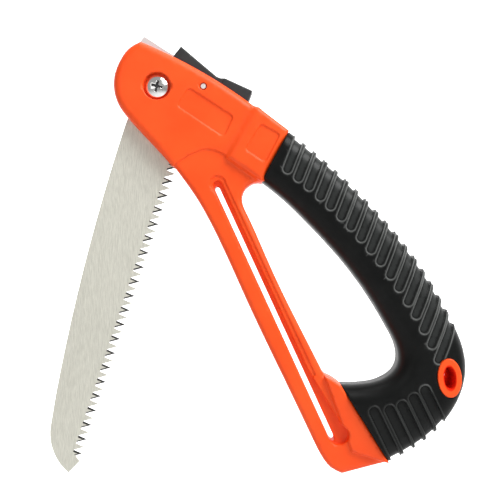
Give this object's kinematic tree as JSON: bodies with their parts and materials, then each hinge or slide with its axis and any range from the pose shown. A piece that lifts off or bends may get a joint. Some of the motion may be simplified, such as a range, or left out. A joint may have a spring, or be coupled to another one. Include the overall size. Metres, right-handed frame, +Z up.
{
  "type": "folding pruning saw",
  "caption": "Folding pruning saw with a D-shaped moulded handle, ribbed rubber grip, pivoting toothed blade and a rocking lock button.",
  "frame": {"origin": "middle of the hand grip, on the mid plane of the handle", "axes": "+Z up and +X towards the grip, as the saw stands with its blade hanging down beside the handle; +Y across the handle, away from the screw head"},
  "size_m": [0.2363, 0.0272, 0.2491],
  "materials": {
    "orange_plastic": "satin",
    "rubber_grip": "matte",
    "blade_steel": "brushed",
    "plated_steel": "polished",
    "spring_steel": "satin",
    "washer_steel": "satin",
    "lever_steel": "satin",
    "black_plastic": "satin"
  },
  "bodies": {
    "handle": {"handle_frame": "orange_plastic", "grip_overmould": "rubber_grip", "pivot_screw": "plated_steel", "pivot_sleeve_nut": "plated_steel", "pivot_spring_washer": "spring_steel", "blade_washers": "washer_steel", "lever_pin": "spring_steel", "lock_spring": "spring_steel"},
    "blade": {"saw_blade": "blade_steel"},
    "lock": {"lock_lever": "lever_steel", "lock_button": "black_plastic"}
  },
  "joints": [
    {"name": "blade_swing", "type": "hinge", "parent": "handle", "child": "blade", "pos_m": [-0.1184, 0, 0.0893], "axis": [0, 1, 0], "range_deg": [-35.5, 105]},
    {"name": "lock_rock", "type": "hinge", "parent": "handle", "child": "lock", "pos_m": [-0.0924, 0, 0.089], "axis": [0, 1, 0], "range_deg": [-5.5, 3], "stiffness_Nm_per_rad": 0.5}
  ]
}
